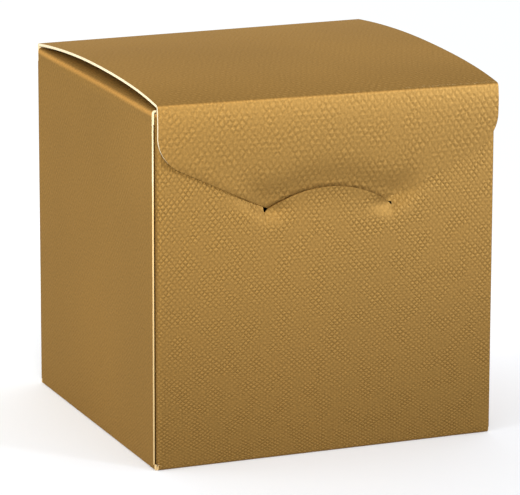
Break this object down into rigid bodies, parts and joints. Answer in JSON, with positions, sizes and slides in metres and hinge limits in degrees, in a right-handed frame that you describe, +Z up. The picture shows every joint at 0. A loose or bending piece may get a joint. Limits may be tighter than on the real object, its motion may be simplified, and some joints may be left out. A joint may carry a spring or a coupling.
{
  "type": "favor box",
  "caption": "Cube-shaped gold embossed folding carton with a hinged lid, an outer closing flap that tucks behind a half-moon tab, inner dust flaps and a tuck bottom.",
  "frame": {"origin": "on the floor, under the middle of the box's four walls, on the underside of the bottom panel", "axes": "+X to the right seen from the front, front wall with the half-moon cut faces -Y, +Z up"},
  "size_m": [0.08, 0.0775, 0.0831],
  "materials": {
    "gold_board": "satin",
    "glue": "satin"
  },
  "bodies": {
    "sleeve": {"front_panel": "gold_board", "left_panel": "gold_board", "right_panel": "gold_board", "back_panel": "gold_board", "glue_flap": "gold_board", "seam_glue": "glue"},
    "half_moon_tab": {"half_moon_tab": "gold_board"},
    "lid": {"lid_panel": "gold_board"},
    "closing_flap": {"closing_flap": "gold_board"},
    "left_dust_flap": {"left_dust_flap": "gold_board"},
    "right_dust_flap": {"right_dust_flap": "gold_board"},
    "bottom": {"bottom_panel": "gold_board"},
    "bottom_tuck": {"bottom_tuck_flap": "gold_board"},
    "bottom_left_dust_flap": {"bottom_left_dust_flap": "gold_board"},
    "bottom_right_dust_flap": {"bottom_right_dust_flap": "gold_board"}
  },
  "joints": [
    {"name": "lid_hinge", "type": "hinge", "parent": "sleeve", "child": "lid", "pos_m": [0, 0.03725, 0.08045], "axis": [-1, 0, 0], "range_deg": [0, 180]},
    {"name": "closing_flap_crease", "type": "hinge", "parent": "lid", "child": "closing_flap", "pos_m": [0, -0.0394, 0.0808], "axis": [-1, 0, 0], "range_deg": [0, 27]},
    {"name": "left_dust_flap_crease", "type": "hinge", "parent": "sleeve", "child": "left_dust_flap", "pos_m": [-0.03975, 0, 0.07975], "axis": [0, -1, 0], "range_deg": [0, 108]},
    {"name": "right_dust_flap_crease", "type": "hinge", "parent": "sleeve", "child": "right_dust_flap", "pos_m": [0.03975, 0, 0.07975], "axis": [0, 1, 0], "range_deg": [0, 108]},
    {"name": "half_moon_tab_crease", "type": "hinge", "parent": "sleeve", "child": "half_moon_tab", "pos_m": [0, -0.03725, 0.055], "axis": [-1, 0, 0], "range_deg": [0, 17.01]},
    {"name": "bottom_hinge", "type": "hinge", "parent": "sleeve", "child": "bottom", "pos_m": [0, -0.03725, 0.00025], "axis": [-1, 0, 0], "range_deg": [0, 120]},
    {"name": "bottom_tuck_crease", "type": "hinge", "parent": "bottom", "child": "bottom_tuck", "pos_m": [0, 0.0366, 0.00025], "axis": [-1, 0, 0], "range_deg": [0, 24]},
    {"name": "bottom_left_dust_flap_crease", "type": "hinge", "parent": "sleeve", "child": "bottom_left_dust_flap", "pos_m": [-0.03975, 0, 0.0009], "axis": [0, 1, 0], "range_deg": [0, 90]},
    {"name": "bottom_right_dust_flap_crease", "type": "hinge", "parent": "sleeve", "child": "bottom_right_dust_flap", "pos_m": [0.03975, 0, 0.0009], "axis": [0, -1, 0], "range_deg": [0, 90]}
  ],
  "couplings": [
    {"joint": "closing_flap_crease", "follows": "lid_hinge", "ratio": 0.15},
    {"joint": "left_dust_flap_crease", "follows": "lid_hinge", "ratio": 0.6},
    {"joint": "right_dust_flap_crease", "follows": "lid_hinge", "ratio": 0.6},
    {"joint": "half_moon_tab_crease", "follows": "lid_hinge", "ratio": 0.094444},
    {"joint": "bottom_tuck_crease", "follows": "bottom_hinge", "ratio": 0.2},
    {"joint": "bottom_left_dust_flap_crease", "follows": "bottom_hinge", "ratio": 0.75},
    {"joint": "bottom_right_dust_flap_crease", "follows": "bottom_hinge", "ratio": 0.75}
  ]
}
